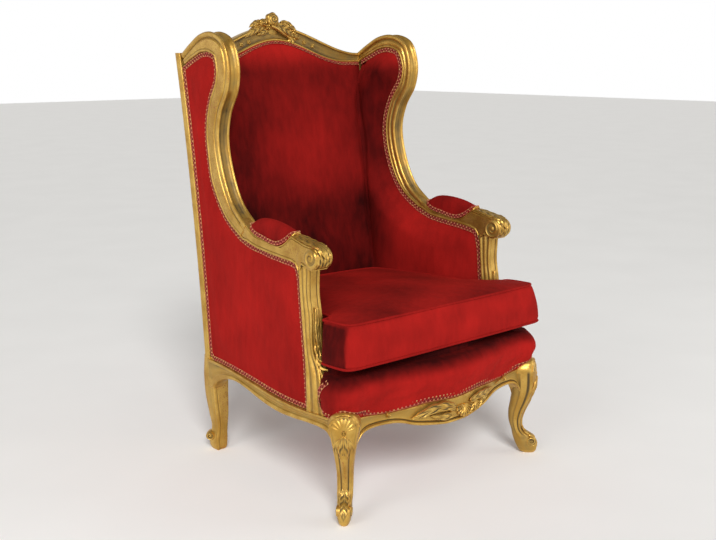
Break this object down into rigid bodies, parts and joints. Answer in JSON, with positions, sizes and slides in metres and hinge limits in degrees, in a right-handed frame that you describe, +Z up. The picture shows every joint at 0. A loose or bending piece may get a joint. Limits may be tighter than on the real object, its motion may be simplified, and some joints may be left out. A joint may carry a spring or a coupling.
{
  "type": "wing armchair",
  "caption": "Carved gilt wing armchair with scrolled arms, cabriole legs, a crested back, velvet upholstery and a loose boxed seat cushion.",
  "frame": {"origin": "on the floor, in the middle of the chair's outer box", "axes": "+Z up, -Y the way the chair faces, +X towards the sitter's left"},
  "size_m": [0.7186, 0.7423, 1.1516],
  "materials": {
    "gilt_wood": "carved hardwood with worn antique gilding",
    "velvet": "crimson cut velvet, brushed both ways",
    "gimp": "woven gimp braid in red and old gold"
  },
  "bodies": {
    "root": {"front_leg_left": "gilt_wood", "front_leg_right": "gilt_wood", "back_leg_left": "gilt_wood", "back_leg_right": "gilt_wood", "front_rail": "gilt_wood", "side_rail_left": "gilt_wood", "side_rail_right": "gilt_wood", "back_rail": "gilt_wood", "arm_post_left": "gilt_wood", "arm_post_right": "gilt_wood", "arm_left": "gilt_wood", "arm_right": "gilt_wood", "wing_frame_left": "gilt_wood", "wing_frame_right": "gilt_wood", "crest_rail": "gilt_wood", "seat_platform": "velvet", "seat_cushion": "velvet", "inside_back_pad": "velvet", "outside_back_panel": "velvet", "inside_side_pad_left": "velvet", "inside_side_pad_right": "velvet", "side_panel_left": "velvet", "side_panel_right": "velvet", "arm_pad_left": "velvet", "arm_pad_right": "velvet", "gimp_side_left": "gimp", "gimp_side_right": "gimp", "gimp_inside_left": "gimp", "gimp_inside_right": "gimp", "gimp_arm_pad_left": "gimp", "gimp_arm_pad_right": "gimp", "gimp_inside_back": "gimp", "gimp_outside_back": "gimp", "gimp_front": "gimp"}
  },
  "joints": []
}
